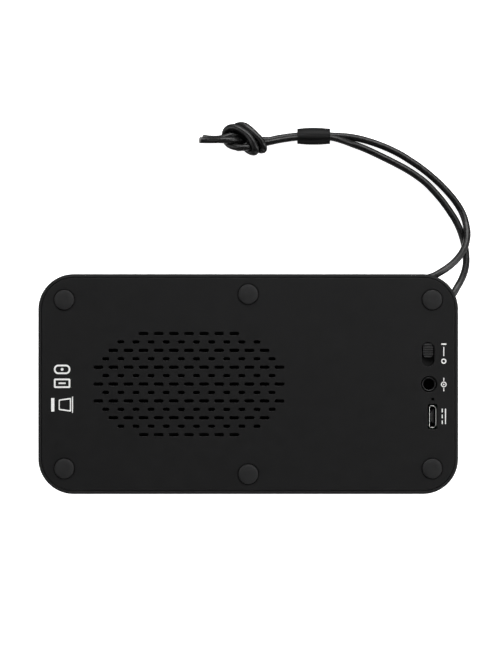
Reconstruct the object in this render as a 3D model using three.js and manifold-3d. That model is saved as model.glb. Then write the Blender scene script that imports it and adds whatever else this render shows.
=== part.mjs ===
// Portable splash-proof speaker with a leather cord lanyard.
// Millimetres. The speaker lies grille-down on its front rim, feet and ports up:
// +X along the long side towards the ports, +Y towards the lanyard corner, +Z out of the back cover.
// Origin: centre of the body's footprint, on the surface it lies on.

import * as THREE from 'three';
import { mergeVertices } from 'three/addons/utils/BufferGeometryUtils.js';
import Module from 'manifold-3d';

const wasm = await Module();
wasm.setup();

// ---- driving dimensions -------------------------------------------------
const W = 135.5;              // body length along X
const H = 71;               // body width along Y
const T = 32;               // body depth, front rim to back cover face
const R = 11.4;             // corner radius of the body outline
const WALL = 2.4;           // side wall
const FRONT_EDGE = 2.0;     // rounding of the front edge
const BACK_EDGE = 0.8;      // rounding of the back rim
const RIM = 1.0;            // rim left standing round the back cover
const SEAM = 0.3;           // seam between rim and back cover
const COVER_T = 2.0;        // back cover thickness
const GRILLE_DEPTH = 3.6;   // recess for the grille
const GRILLE_INSET = 4.0;   // body outline to grille recess
const BAFFLE_T = 2.2;       // driver baffle
const GAP = 0.3;            // running and assembly gap
const FEET = [[-59.3, 27.2], [0, 29], [59.3, 27.2], [-59.3, -27.2], [0, -29], [59.3, -27.2]];
const FOOT_R = 3.2;         // rubber foot radius
const FOOT_H = 0.8;         // foot height above the back cover
const POST_R = 4.0;         // cover screw post radius
const VENT_X = -19.15;      // centre of the vent slot field
const VENT_PITCH_X = 4.874; // slot spacing along a row
const VENT_PITCH_Y = 2.717; // row spacing
const VENT_ROWS = [7, 10, 11, 12, 13, 12, 13, 12, 13, 12, 11, 10, 7];
const LONG_SLOT = 3.2;      // odd rows
const SHORT_SLOT = 2.25;    // even rows
const SLOT_W = 1.1;
const SWITCH = [58.0, 9.6];
const SWITCH_SLOT = [4.1, 7.8];
const KNOB = [3.3, 4.45];
const KNOB_Y = 10.8;        // knob centre in the ON position
const JACK = [58.3, 0];
const JACK_HOLE_R = 2.6;
const JACK_BORE_R = 1.8;    // takes a 3.5 mm plug
const LIGHT = [59.5, -4.9];
const USB = [59.4, -10.5];
const USB_SHELL = [2.5, 7.5];
const DRIVER_X = 34;        // driver centres at +-DRIVER_X
const BAFFLE_HOLE_R = 18.5;
const BUTTON_X = [16, 30, 44];
const BUTTON_Z = 17;
const BUTTON = [10, 4.6];   // button cap, along X and Z
const CORD_R = 1.0;         // lanyard cord radius
const BEAD_C = [22.1, 82.94, 2.88];
const BEAD_L = 11.0;
const BEAD_R = 2.86;
const BEAD_BORE_R = 2.35;
const CORD_HOLE_R = 1.7;
const CORD_HOLE_Z = 12;

// Lanyard strands: from behind the corner post, out of the corner, down to the
// surface, through the bead and up to the knot.
const CORD_A = [[55.37, 23.49, 12.00], [54.20, 25.20, 12.00], [53.90, 27.20, 12.00], [54.20, 29.05, 12.00], [55.16, 30.67, 12.00], [57.88, 33.03, 12.00], [60.00, 34.81, 12.00], [61.63, 35.34, 11.98], [63.35, 36.25, 11.76], [66.96, 38.53, 10.52], [70.24, 41.44, 8.50], [72.81, 45.14, 6.08], [73.95, 49.23, 3.86], [73.72, 53.38, 2.12], [72.51, 57.31, 1.17], [70.38, 60.81, 1.08], [67.76, 64.04, 1.08], [64.87, 67.03, 1.08], [61.78, 69.81, 1.08], [58.52, 72.40, 1.08], [55.09, 74.74, 1.08], [51.52, 76.95, 1.08], [47.79, 78.82, 1.08], [43.95, 80.38, 1.08], [39.97, 81.67, 1.08], [35.90, 82.62, 1.08], [31.80, 83.13, 1.39], [27.71, 83.16, 1.79], [22.11, 83.40, 1.79], [16.51, 83.33, 1.79], [11.08, 82.51, 1.79], [7.05, 81.63, 1.79]];
const CORD_B = [[55.59, 23.27, 12.00], [57.10, 22.25, 12.00], [59.30, 21.80, 12.00], [62.00, 22.52, 12.00], [63.98, 24.50, 12.00], [64.94, 26.13, 12.00], [66.81, 28.00, 12.00], [68.45, 29.61, 11.81], [69.53, 31.36, 11.18], [71.70, 34.92, 8.94], [73.18, 38.77, 6.07], [73.61, 42.85, 3.34], [73.18, 46.83, 1.50], [72.04, 50.76, 1.08], [70.34, 54.49, 1.08], [68.17, 57.89, 1.08], [65.79, 61.19, 1.08], [63.14, 64.28, 1.08], [60.32, 67.16, 1.08], [57.13, 69.64, 1.08], [53.70, 71.85, 1.08], [50.13, 73.79, 1.08], [44.73, 76.47, 1.08], [39.26, 78.99, 1.08], [35.45, 80.37, 1.81], [31.54, 81.42, 3.20], [27.61, 82.22, 3.97], [22.04, 82.49, 3.97], [16.46, 82.29, 3.97], [11.05, 81.41, 3.97], [7.05, 80.73, 3.97]];
const KNOT_C = [-1.0, 82.0, 3.15];
const KNOT_HALF = [8.2, 5.6, 3.1];
const KNOT_FACE = 7.7;      // flat end faces at KNOT_C[0] +- this
const TAIL_A = [[-9.05, 82.5, 1.08], [-12, 82.6, 1.08], [-15.2, 82.6, 1.08]];
const TAIL_B = [[-9.05, 81.9, 3.35], [-12, 82.0, 3.35], [-16.6, 82.05, 3.3]];

// ---- helpers ------------------------------------------------------------
function clean(geometry) {
  const g = new THREE.BufferGeometry();
  g.setAttribute('position', geometry.getAttribute('position').clone());
  if (geometry.index) g.setIndex(geometry.index.clone());
  const m = mergeVertices(g, 1e-4);
  const ix = m.index.array, out = [];
  for (let i = 0; i < ix.length; i += 3) {
    if (ix[i] !== ix[i + 1] && ix[i + 1] !== ix[i + 2] && ix[i] !== ix[i + 2]) out.push(ix[i], ix[i + 1], ix[i + 2]);
  }
  const p = m.getAttribute('position');
  let vol = 0;
  const a = new THREE.Vector3(), b = new THREE.Vector3(), c = new THREE.Vector3();
  for (let i = 0; i < out.length; i += 3) {
    a.fromBufferAttribute(p, out[i]); b.fromBufferAttribute(p, out[i + 1]); c.fromBufferAttribute(p, out[i + 2]);
    vol += a.dot(b.cross(c)) / 6;
  }
  if (vol < 0) for (let i = 0; i < out.length; i += 3) [out[i], out[i + 1]] = [out[i + 1], out[i]];
  m.setIndex(out);
  return m;
}

function solid(geometry) {
  const g = clean(geometry);
  return new wasm.Manifold(new wasm.Mesh({
    numProp: 3,
    vertProperties: Float32Array.from(g.getAttribute('position').array),
    triVerts: Uint32Array.from(g.index.array),
  }));
}

function geometryOf(manifold) {
  const mesh = manifold.getMesh();
  const n = mesh.vertProperties.length / mesh.numProp;
  const pos = new Float32Array(n * 3);
  for (let i = 0; i < n; i++) for (let k = 0; k < 3; k++) pos[3 * i + k] = mesh.vertProperties[i * mesh.numProp + k];
  const g = new THREE.BufferGeometry();
  g.setAttribute('position', new THREE.BufferAttribute(pos, 3));
  g.setIndex(Array.from(mesh.triVerts));
  return g;
}

function cut(base, ...tools) {
  let m = solid(base);
  for (const t of tools) m = m.subtract(solid(t));
  return geometryOf(m);
}

function join(...parts) {
  let m = solid(parts[0]);
  for (const t of parts.slice(1)) m = m.add(solid(t));
  return geometryOf(m);
}

// rounded rectangle outline
function rr(w, h, r, cx = 0, cy = 0) {
  const s = new THREE.Shape();
  const x = w / 2 - r, y = h / 2 - r;
  s.moveTo(cx + x, cy - h / 2);
  s.absarc(cx + x, cy - y, r, -Math.PI / 2, 0, false);
  s.absarc(cx + x, cy + y, r, 0, Math.PI / 2, false);
  s.absarc(cx - x, cy + y, r, Math.PI / 2, Math.PI, false);
  s.absarc(cx - x, cy - y, r, Math.PI, Math.PI * 1.5, false);
  return s;
}

// straight prism of a shape between two heights
function prism(shape, z0, z1, segments = 4) {
  const g = new THREE.ExtrudeGeometry(shape, { depth: z1 - z0, bevelEnabled: false, curveSegments: segments });
  g.translate(0, 0, z0);
  return g;
}

// prism whose two edges are rounded; the outline keeps its full size in the middle
function rounded(shape, z0, z1, edge, edgeSegments = 2, segments = 4) {
  const g = new THREE.ExtrudeGeometry(shape, {
    depth: z1 - z0 - 2 * edge, bevelEnabled: true, bevelThickness: edge, bevelSize: edge,
    bevelOffset: -edge, bevelSegments: edgeSegments, curveSegments: segments,
  });
  g.translate(0, 0, z0 + edge);
  return g;
}

function ring(outer, inner, z0, z1, segments = 4) {
  const s = outer;
  s.holes.push(inner);
  return prism(s, z0, z1, segments);
}

function rod(x, y, r, z0, z1, segments = 12) {
  const g = new THREE.CylinderGeometry(r, r, z1 - z0, segments);
  g.rotateX(Math.PI / 2);
  g.translate(x, y, (z0 + z1) / 2);
  return g;
}

// solid of revolution round a vertical axis; profile is [radius, height]
function lathe(profile, x, y, segments = 12) {
  const g = new THREE.LatheGeometry(profile.map(([r, z]) => new THREE.Vector2(r, z)), segments);
  g.rotateX(Math.PI / 2);
  g.translate(x, y, 0);
  return g;
}

const closed = (profile) => [...profile, profile[0]];

// prism along Y of an outline drawn in X and Z
function sidePrism(shape, y0, y1, segments = 4) {
  const g = new THREE.ExtrudeGeometry(shape, { depth: y1 - y0, bevelEnabled: false, curveSegments: segments });
  g.rotateX(Math.PI / 2);      // (x, y, z) -> (x, -z, y)
  g.translate(0, y1, 0);
  return g;
}

function cordTube(points, radius, steps) {
  const curve = new THREE.CatmullRomCurve3(points.map((p) => new THREE.Vector3(...p)), false, 'centripetal');
  const s = new THREE.Shape();
  for (let i = 0; i < 8; i++) {
    const a = ((i + 0.5) / 8) * 2 * Math.PI;
    const x = radius * Math.cos(a), y = radius * Math.sin(a);
    if (i === 0) s.moveTo(x, y); else s.lineTo(x, y);
  }
  s.closePath();
  return new THREE.ExtrudeGeometry(s, { steps, bevelEnabled: false, extrudePath: curve });
}

// ---- materials ----------------------------------------------------------
const mat = (color, roughness, metalness = 0) => new THREE.MeshStandardMaterial({ color, roughness, metalness });
const shellBlack = mat(0x161616, 0.45);
const coverBlack = mat(0x121212, 0.6);
const rubberBlack = mat(0x1b1b1b, 0.8);
const clothBlack = mat(0x141414, 0.95);
const framePlastic = mat(0x202020, 0.7);
const steel = mat(0xb9bbbd, 0.3, 1);
const zinc = mat(0x8e9196, 0.4, 1);
const ferrite = mat(0x2a2a2c, 0.7);
const paper = mat(0x1d1d1f, 0.9);
const boardGreen = mat(0x14503a, 0.5);
const batteryWrap = mat(0x3b6ea8, 0.5);
const foam = mat(0x303030, 1.0);
const nickel = mat(0xd6d6d2, 0.25, 1);
const leather = mat(0x101010, 0.4);
const beadBlack = mat(0x1a1a1a, 0.5);
const clear = mat(0xd8dcdc, 0.2);

const speaker = new THREE.Group();
function add(name, geometry, material, parent = speaker) {
  const mesh = new THREE.Mesh(clean(geometry), material);
  mesh.name = name;
  parent.add(mesh);
  return mesh;
}

// ---- front housing ------------------------------------------------------
const BAFFLE_BACK = GRILLE_DEPTH + BAFFLE_T;
const COVER_Z = T - COVER_T;
const LEDGE_Z = COVER_Z - 1.3;
const POST_TOP = COVER_Z - 1.6;

const bodyFront = rounded(rr(W, H, R), 0, T + 8, FRONT_EDGE, 2, 5);
const bodyBack = rounded(rr(W, H, R), -8, T, BACK_EDGE, 1, 5);
let shell = solid(bodyFront).intersect(solid(bodyBack));
const holes = [
  prism(rr(W - 2 * GRILLE_INSET, H - 2 * GRILLE_INSET, R - GRILLE_INSET), -1, GRILLE_DEPTH, 3),
  prism(rr(W - 2 * WALL, H - 2 * WALL, R - WALL), BAFFLE_BACK, T + 1, 4),
  prism(rr(W - 2 * RIM, H - 2 * RIM, R - RIM), LEDGE_Z, T + 1, 5),
  rod(-DRIVER_X, 0, BAFFLE_HOLE_R, GRILLE_DEPTH - 0.5, BAFFLE_BACK + 0.5, 20),
  rod(DRIVER_X, 0, BAFFLE_HOLE_R, GRILLE_DEPTH - 0.5, BAFFLE_BACK + 0.5, 20),
];
for (const h of holes) shell = shell.subtract(solid(h));
for (const [x, y] of FEET) {
  shell = shell.add(solid(rod(x, y, POST_R, GRILLE_DEPTH + 1, POST_TOP, 10)));
  if (x === 0) {
    const rib = new THREE.BoxGeometry(3, 4.6, POST_TOP - 0.2 - 5);
    rib.translate(0, Math.sign(y) * 31.6, (POST_TOP - 0.2 + 5) / 2);
    shell = shell.add(solid(rib));
  }
}
for (const [x, y] of FEET) shell = shell.subtract(solid(rod(x, y, 1.5, 14, T + 1, 8)));
const BOARD_POSTS = [[52.5, 18.3], [52.5, -18.3]];
for (const [x, y] of BOARD_POSTS) {
  shell = shell.add(solid(rod(x, y, 2.2, GRILLE_DEPTH + 1, 19.2, 8)));
  shell = shell.subtract(solid(rod(x, y, 1.2, 11, 20, 8)));
}
// lanyard holes through the corner, along each strand
function cordHole(a, b) {
  const p = new THREE.Vector3(...a), q = new THREE.Vector3(...b);
  const d = q.clone().sub(p).normalize();
  const g = new THREE.CylinderGeometry(CORD_HOLE_R, CORD_HOLE_R, p.distanceTo(q) + 6.5, 10);
  g.applyQuaternion(new THREE.Quaternion().setFromUnitVectors(new THREE.Vector3(0, 1, 0), d));
  const mid = p.clone().add(q).multiplyScalar(0.5).addScaledVector(d, 0.9);
  g.translate(mid.x, mid.y, mid.z);
  return g;
}
shell = shell.subtract(solid(cordHole(CORD_A[5], CORD_A[6])));
shell = shell.subtract(solid(cordHole(CORD_B[5], CORD_B[6])));
// push button openings in the long side
for (const x of BUTTON_X) {
  shell = shell.subtract(solid(sidePrism(rr(BUTTON[0] + 0.6, BUTTON[1] + 0.6, BUTTON[1] / 2 + 0.29, x, BUTTON_Z), -H / 2 - 1, -H / 2 + WALL + 1, 3)));
}
add('front_housing', geometryOf(shell), shellBlack);

// ---- back cover: one moulding on the real thing, in three fields here -----
const coverOffset = RIM + SEAM;
const VENT_PANEL = [66, 39, 11.4];
const PORT_PANEL = { w: 8.8, h: 32.3, r: 1.5, x: 58.9, y: -0.35 };
let cover = solid(rounded(rr(W - 2 * coverOffset, H - 2 * coverOffset, R - coverOffset), COVER_Z, T, 0.25, 1, 5));
for (const [x, y] of FEET) cover = cover.add(solid(rod(x, y, 3.8, LEDGE_Z, COVER_Z + 0.5, 10)));
cover = cover.subtract(solid(prism(rr(VENT_PANEL[0] + 0.6, VENT_PANEL[1] + 0.6, VENT_PANEL[2] + 0.3, VENT_X, 0), COVER_Z - 1, T + 1, 3)));
cover = cover.subtract(solid(prism(rr(PORT_PANEL.w + 0.6, PORT_PANEL.h + 0.6, PORT_PANEL.r + 0.3, PORT_PANEL.x, PORT_PANEL.y), COVER_Z - 1, T + 1, 2)));
for (const [x, y] of FEET) {
  cover = cover.subtract(solid(rod(x, y, 1.5, LEDGE_Z - 1, T, 8)));
  cover = cover.subtract(solid(rod(x, y, 2.8, COVER_Z + 0.2, T - 0.5, 10)));
  cover = cover.subtract(solid(rod(x, y, FOOT_R + 0.35, T - 0.6, T + 1, 14)));
}
add('back_cover', geometryOf(cover), coverBlack);

let vent = solid(prism(rr(VENT_PANEL[0], VENT_PANEL[1], VENT_PANEL[2], VENT_X, 0), COVER_Z, T, 3));
VENT_ROWS.forEach((count, row) => {
  const y = (6 - row) * VENT_PITCH_Y;
  for (let i = 0; i < count; i++) {
    const slot = new THREE.BoxGeometry(row % 2 === 0 ? LONG_SLOT : SHORT_SLOT, SLOT_W, COVER_T + 2);
    slot.translate(VENT_X + (i - (count - 1) / 2) * VENT_PITCH_X, y, T - COVER_T / 2);
    vent = vent.subtract(solid(slot));
  }
});
add('back_cover_vent_field', geometryOf(vent), coverBlack);

const portField = prism(rr(PORT_PANEL.w, PORT_PANEL.h, PORT_PANEL.r, PORT_PANEL.x, PORT_PANEL.y), COVER_Z, T, 2);
add('back_cover_port_field', cut(portField,
  prism(rr(SWITCH_SLOT[0], SWITCH_SLOT[1], SWITCH_SLOT[0] / 2 - 0.01, SWITCH[0], SWITCH[1]), COVER_Z - 1, T + 1, 3),
  rod(JACK[0], JACK[1], JACK_HOLE_R, COVER_Z - 1, T + 1, 16),
  rod(LIGHT[0], LIGHT[1], 0.45, COVER_Z - 1, T + 1, 8),
  prism(rr(USB_SHELL[0] + 0.6, USB_SHELL[1] + 0.6, 0.6, USB[0], USB[1]), COVER_Z - 1, T + 1, 2),
), coverBlack);

const sealOut = RIM + SEAM, sealIn = 2.2;
add('cover_seal', ring(rr(W - 2 * sealOut, H - 2 * sealOut, R - sealOut), rr(W - 2 * sealIn, H - 2 * sealIn, R - sealIn), LEDGE_Z + GAP, COVER_Z - GAP, 4), rubberBlack);

// ---- grille -------------------------------------------------------------
const grilleW = W - 2 * GRILLE_INSET - 2 * GAP, grilleH = H - 2 * GRILLE_INSET - 2 * GAP, grilleR = R - GRILLE_INSET - GAP;
const grille = rr(grilleW, grilleH, grilleR);
for (const cx of [-DRIVER_X, DRIVER_X]) {
  for (let i = -2; i <= 2; i++) {
    const dx = i * 6.4, half = Math.sqrt(17 * 17 - dx * dx) - 0.4;
    grille.holes.push(rr(4.6, 2 * half, 1.2, cx + dx, 0));
  }
}
add('grille_frame', prism(grille, 1.4, GRILLE_DEPTH - GAP, 1), framePlastic);
add('grille_cloth', prism(rr(grilleW, grilleH, grilleR), 0.5, 1.1, 3), clothBlack);

// ---- feet and the cover screws under them --------------------------------
FEET.forEach(([x, y], i) => {
  const top = T + FOOT_H, base = T - 0.3;
  add(`foot_${i + 1}`, lathe([[0, base], [FOOT_R, base], [FOOT_R, T + 0.25], [FOOT_R - 0.45, top - 0.12], [FOOT_R - 1.1, top], [0, top]], x, y, 14), rubberBlack);
  const head = COVER_Z + 0.5;
  add(`cover_screw_${i + 1}`, lathe([[0, 17], [1.0, 18], [1.0, head], [2.4, head], [2.4, T - 0.6], [0, T - 0.6]], x, y, 8), zinc);
});

// ---- two full-range drivers ----------------------------------------------
for (const [side, cx] of [['left', -DRIVER_X], ['right', DRIVER_X]]) {
  const z = BAFFLE_BACK; // 5.8
  add(`${side}_driver_gasket`, lathe(closed([[18.9, z + 0.3], [22, z + 0.3], [22, z + 0.9], [18.9, z + 0.9]]), cx, 0), foam);
  add(`${side}_driver_basket`, lathe(closed([[17.8, z + 1.2], [22, z + 1.2], [22, z + 2.4], [19.4, z + 2.4], [14.8, z + 7.5], [14.8, z + 9.0], [9.6, z + 9.0], [9.6, z + 8.0], [13.3, z + 8.0], [17.8, z + 2.2]]), cx, 0), zinc);
  add(`${side}_driver_magnet`, lathe(closed([[7.0, z + 9.3], [13.5, z + 9.3], [13.5, z + 13.8], [7.0, z + 13.8]]), cx, 0), ferrite);
  add(`${side}_driver_yoke`, lathe([[0, z + 6.6], [5.0, z + 6.6], [5.0, z + 14.1], [13.0, z + 14.1], [13.0, z + 16.4], [0, z + 16.4]], cx, 0), zinc);
  add(`${side}_driver_surround`, lathe(closed([[15.6, z + 0.3], [15.9, z - 0.6], [16.4, z - 1.0], [16.9, z - 0.6], [17.2, z], [18.2, z], [18.2, z + 0.6], [17.0, z + 0.7], [16.4, z - 0.3], [15.9, z + 0.6]]), cx, 0), rubberBlack);
  add(`${side}_driver_cone`, lathe(closed([[15.3, z - 0.2], [15.3, z + 0.4], [7.2, z + 4.6], [6.5, z + 5.0], [6.5, z + 10.4], [6.1, z + 10.4], [6.1, z + 4.4], [14.9, z - 0.2]]), cx, 0), paper);
  add(`${side}_driver_dust_cap`, lathe([[0, z + 1.4], [2.4, z + 1.7], [4.4, z + 2.6], [5.8, z + 4.0], [5.4, z + 4.3], [0, z + 3.0]], cx, 0), paper);
}

// ---- passive radiator behind the vents -----------------------------------
add('radiator_frame', ring(rr(64, 37.4, 14, VENT_X, 0), rr(57.6, 31, 11, VENT_X, 0), COVER_Z - 4.6, COVER_Z - GAP, 3), framePlastic);
const roll = rr(57, 30.4, 10.7, VENT_X, 0);
roll.holes.push(rr(47.6, 21, 6.6, VENT_X, 0));
add('radiator_surround', rounded(roll, COVER_Z - 3.6, COVER_Z - 1.6, 0.7, 1, 3), rubberBlack);
add('radiator_plate', prism(rr(47, 20.4, 6.3, VENT_X, 0), COVER_Z - 3.2, COVER_Z - 1.8, 3), framePlastic);

// ---- battery -------------------------------------------------------------
add('battery_pack', rounded(rr(32, 50, 2.5, 31, 0), 24.0, 29.0, 1.0, 1, 2), batteryWrap);
add('battery_foam_pad', prism(rr(24, 26, 1, 31, 0), 22.6, 23.7, 1), foam);

// ---- main board with the ports --------------------------------------------
const BOARD = [19.5, 21.1];
add('main_board', cut(prism(rr(14, 42, 1, 57, 0), BOARD[0], BOARD[1], 1), ...BOARD_POSTS.map(([x, y]) => rod(x, y, 1.2, 18, 23, 8))), boardGreen);
BOARD_POSTS.forEach(([x, y], i) => {
  add(`board_screw_${i + 1}`, lathe([[0, 13], [0.9, 13.6], [0.9, 21.4], [1.9, 21.4], [1.9, 22.4], [0, 22.4]], x, y, 8), zinc);
});
add('audio_jack', cut(join(prism(rr(6.6, 7.6, 0.5, JACK[0], JACK[1]), 21.4, 29.2, 1), rod(JACK[0], JACK[1], 2.25, 28.8, T - 0.4, 16)),
  rod(JACK[0], JACK[1], JACK_BORE_R, 22.6, T + 1, 14)), framePlastic);
function usbOutline(w, h, c, cx, cy) {
  const s = new THREE.Shape();
  const x = w / 2, y = h / 2;
  s.moveTo(cx - x, cy - y + 0.3); s.lineTo(cx - x + 0.3, cy - y); s.lineTo(cx + x - c, cy - y); s.lineTo(cx + x, cy - y + c);
  s.lineTo(cx + x, cy + y - c); s.lineTo(cx + x - c, cy + y); s.lineTo(cx - x + 0.3, cy + y); s.lineTo(cx - x, cy + y - 0.3);
  s.closePath();
  return s;
}
add('usb_socket_shell', cut(join(prism(usbOutline(USB_SHELL[0], USB_SHELL[1], 0.75, ...USB), 24, T - 0.3, 1), prism(rr(5.2, 8.2, 0.4, ...USB), 21.4, 24.6, 1)),
  prism(usbOutline(USB_SHELL[0] - 0.6, USB_SHELL[1] - 0.6, 0.62, ...USB), 26, T + 1, 1)), nickel);
add('usb_socket_tongue', prism(rr(0.6, 4.4, 0.2, USB[0] - 0.3, USB[1]), 26.3, T - 1.3, 1), framePlastic);
add('light_pipe', rod(LIGHT[0], LIGHT[1], 0.3, 21.4, T - 0.6, 6), clear);
add('switch_body', prism(rr(5.0, 9.2, 0.5, SWITCH[0], SWITCH[1]), 21.4, 27.2, 1), framePlastic);
let knob = solid(prism(rr(KNOB[0], KNOB[1], 1.2, SWITCH[0], KNOB_Y), 27.9, T - 0.4, 3));
for (let i = -2; i <= 2; i++) {
  const groove = new THREE.BoxGeometry(2.7, 0.32, 0.6);
  groove.translate(SWITCH[0], KNOB_Y + i * 0.72, T - 0.4);
  knob = knob.subtract(solid(groove));
}
add('switch_knob', geometryOf(knob), rubberBlack);
add('radio_module_shield', prism(rr(11, 14, 0.6, 56.8, -5), 17.0, 19.2, 1), nickel);

// ---- push buttons on the long side ----------------------------------------
const buttonFace = -H / 2 + 0.2;
['volume_down_button', 'play_button', 'volume_up_button'].forEach((name, i) => {
  const x = BUTTON_X[i];
  add(name, join(
    sidePrism(rr(BUTTON[0], BUTTON[1], BUTTON[1] / 2 - 0.01, x, BUTTON_Z), buttonFace, -H / 2 + WALL + 0.5, 3),
    sidePrism(rr(BUTTON[0] + 2.6, BUTTON[1] + 2.6, 3, x, BUTTON_Z), -H / 2 + WALL + 0.3, -H / 2 + WALL + 1.1, 2),
    sidePrism(rr(3, 3, 0.8, x, BUTTON_Z), -H / 2 + WALL + 1.0, -H / 2 + WALL + 1.5, 1),
  ), rubberBlack);
});
add('button_board', sidePrism(rr(44, 9, 1, 30, BUTTON_Z), -30.6, -29.4, 1), boardGreen);

// ---- lanyard -------------------------------------------------------------
add('lanyard_strand_a', cordTube(CORD_A, CORD_R, 34), leather);
add('lanyard_strand_b', cordTube(CORD_B, CORD_R, 34), leather);
const bead = new THREE.LatheGeometry(closed([
  [BEAD_BORE_R, -BEAD_L / 2], [BEAD_R - 0.22, -BEAD_L / 2], [BEAD_R - 0.05, -BEAD_L / 2 + 0.6], [BEAD_R, 0],
  [BEAD_R - 0.05, BEAD_L / 2 - 0.6], [BEAD_R - 0.22, BEAD_L / 2], [BEAD_BORE_R, BEAD_L / 2],
]).map(([r, z]) => new THREE.Vector2(r, z)), 16);
bead.rotateZ(-Math.PI / 2);
bead.translate(...BEAD_C);
add('lanyard_bead', bead, beadBlack);
const knotBall = new THREE.SphereGeometry(1, 14, 8);
knotBall.scale(...KNOT_HALF);
knotBall.translate(...KNOT_C);
const knotBox = new THREE.BoxGeometry(2 * KNOT_FACE, 20, 20);
knotBox.translate(...KNOT_C);
add('lanyard_knot', geometryOf(solid(knotBall).intersect(solid(knotBox))), leather);
add('lanyard_tail_a', cordTube(TAIL_A, CORD_R, 4), leather);
add('lanyard_tail_b', cordTube(TAIL_B, CORD_R, 4), leather);

export default speaker;
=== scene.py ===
# Portable splash-proof speaker with a leather cord lanyard: the looks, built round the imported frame.
# All dimensions below are in millimetres in the part's own frame; meshes are written in metres.
import bpy, bmesh, math
import numpy as np
from mathutils import Vector, Matrix
from mathutils.geometry import tessellate_polygon


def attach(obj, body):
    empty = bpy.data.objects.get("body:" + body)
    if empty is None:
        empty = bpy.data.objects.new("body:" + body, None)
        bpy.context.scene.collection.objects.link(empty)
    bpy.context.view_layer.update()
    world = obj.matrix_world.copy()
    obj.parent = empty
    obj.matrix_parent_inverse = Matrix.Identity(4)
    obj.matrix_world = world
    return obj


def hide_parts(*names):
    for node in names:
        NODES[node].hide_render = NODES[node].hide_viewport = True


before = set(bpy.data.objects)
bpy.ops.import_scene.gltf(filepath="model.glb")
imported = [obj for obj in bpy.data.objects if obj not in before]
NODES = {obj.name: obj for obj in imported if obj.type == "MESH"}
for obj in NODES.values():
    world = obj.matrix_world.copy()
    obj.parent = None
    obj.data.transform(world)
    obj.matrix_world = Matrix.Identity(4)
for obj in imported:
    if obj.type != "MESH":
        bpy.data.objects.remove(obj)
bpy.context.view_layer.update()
MM = 0.001
scene = bpy.context.scene

# ---- camera ---------------------------------------------------------------
cam_data = bpy.data.cameras.new("camera")
cam_data.lens = 100.0
cam_data.sensor_width = 36.0
cam_data.clip_start, cam_data.clip_end = 0.01, 20.0
cam = bpy.data.objects.new("camera", cam_data)
cam.location = (0.565 * MM, 19.06 * MM, 614 * MM)
scene.collection.objects.link(cam)
scene.camera = cam

# ---- body dimensions, as in the frame --------------------------------------
W, H, T, R = 135.5, 71.0, 32.0, 11.4
WALL, RIM, SEAM = 2.4, 1.0, 0.3
FRONT_EDGE, BACK_EDGE = 2.0, 0.8
GRILLE_INSET, GRILLE_DEPTH, BAFFLE_BACK = 4.0, 3.6, 5.8
COVER_Z, LEDGE_Z = 30.0, 28.7
FEET = [(-59.3, 27.2), (0, 29), (59.3, 27.2), (-59.3, -27.2), (0, -29), (59.3, -27.2)]
VENT_X, PITCH_X, PITCH_Y = -19.15, 4.874, 2.717
ROWS = [7, 10, 11, 12, 13, 12, 13, 12, 13, 12, 11, 10, 7]
LONG_SLOT, SHORT_SLOT, SLOT_W = 3.2, 2.25, 1.1
SWITCH, SWITCH_SLOT, KNOB, KNOB_Y = (58.0, 9.6), (4.1, 7.8), (3.3, 4.45), 10.8
JACK, LIGHT, USB = (58.3, 0.0), (59.5, -4.9), (59.4, -10.5)
DRIVER_X, BAFFLE_HOLE_R = 34.0, 18.5
BUTTON_X, BUTTON_Z, BUTTON = [16, 30, 44], 17.0, (10.0, 4.6)
BEAD_C, BEAD_L = (22.1, 82.94, 2.88), 11.0
CORD_D = 2.2

# The two strands of the lanyard: from behind the corner post, out of the corner, through
# the bead, round the doubled overhand knot and along the tail.
STRAND_A = [
    (55.37, 23.49, 12), (54.2, 25.2, 12), (53.9, 27.2, 12), (54.2, 29.05, 12), (55.16, 30.67, 12),
    (57.88, 33.03, 12), (60, 34.81, 12), (61.63, 35.34, 11.98), (63.35, 36.25, 11.76), (66.96, 38.53, 10.52),
    (70.24, 41.44, 8.5), (72.81, 45.14, 6.08), (73.95, 49.23, 3.86), (73.72, 53.38, 2.12),
    (72.51, 57.31, 1.25), (70.38, 60.81, 1.25), (67.76, 64.04, 1.25), (64.87, 67.03, 1.25),
    (61.78, 69.81, 1.25), (58.52, 72.4, 1.25), (55.09, 74.74, 1.25), (51.52, 76.95, 1.25),
    (47.79, 78.82, 1.25), (43.95, 80.38, 1.25), (39.97, 81.67, 1.25), (35.9, 82.62, 1.25),
    (32.7, 83.08, 1.5), (29.7, 83.24, 1.79), (22.11, 83.52, 1.79), (15.5, 83.2, 1.79),
    (10.0, 82.42, 1.79), (6.61, 81.74, 1.78), (4.87, 81.74, 1.86), (3.08, 81.65, 2.28), (1.4, 81.21, 2.88),
    (-0.2, 80.36, 3.11), (-1.74, 79.35, 3.21), (-3.4, 79.05, 2.62), (-4.62, 80.01, 1.74),
    (-5.37, 81.57, 1.22), (-5.48, 83.36, 1.22), (-5.01, 84.99, 1.56), (-4.22, 86.17, 2.48),
    (-2.77, 86.56, 3.5), (-1.22, 86.26, 4.41), (0.18, 85.27, 5.06), (1.48, 84.09, 5.48), (2.73, 82.82, 5.71),
    (3.99, 81.49, 5.8), (4.9, 79.92, 5.57), (5.26, 78.64, 4.46), (4.86, 78.2, 2.81), (3.69, 78.48, 1.59),
    (2.17, 79.35, 1.22), (0.76, 80.54, 1.22), (-0.44, 81.87, 1.37), (-1.83, 82.92, 1.84), (-3.49, 83.4, 2.38),
    (-5.24, 83.4, 3.1), (-7.05, 82.8, 3.45), (-8.78, 82.25, 3.36), (-10.21, 82.13, 2.85),
    (-11.8, 82.2, 2.15), (-13.47, 82.36, 1.51), (-15.2, 82.66, 1.12),
]
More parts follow.
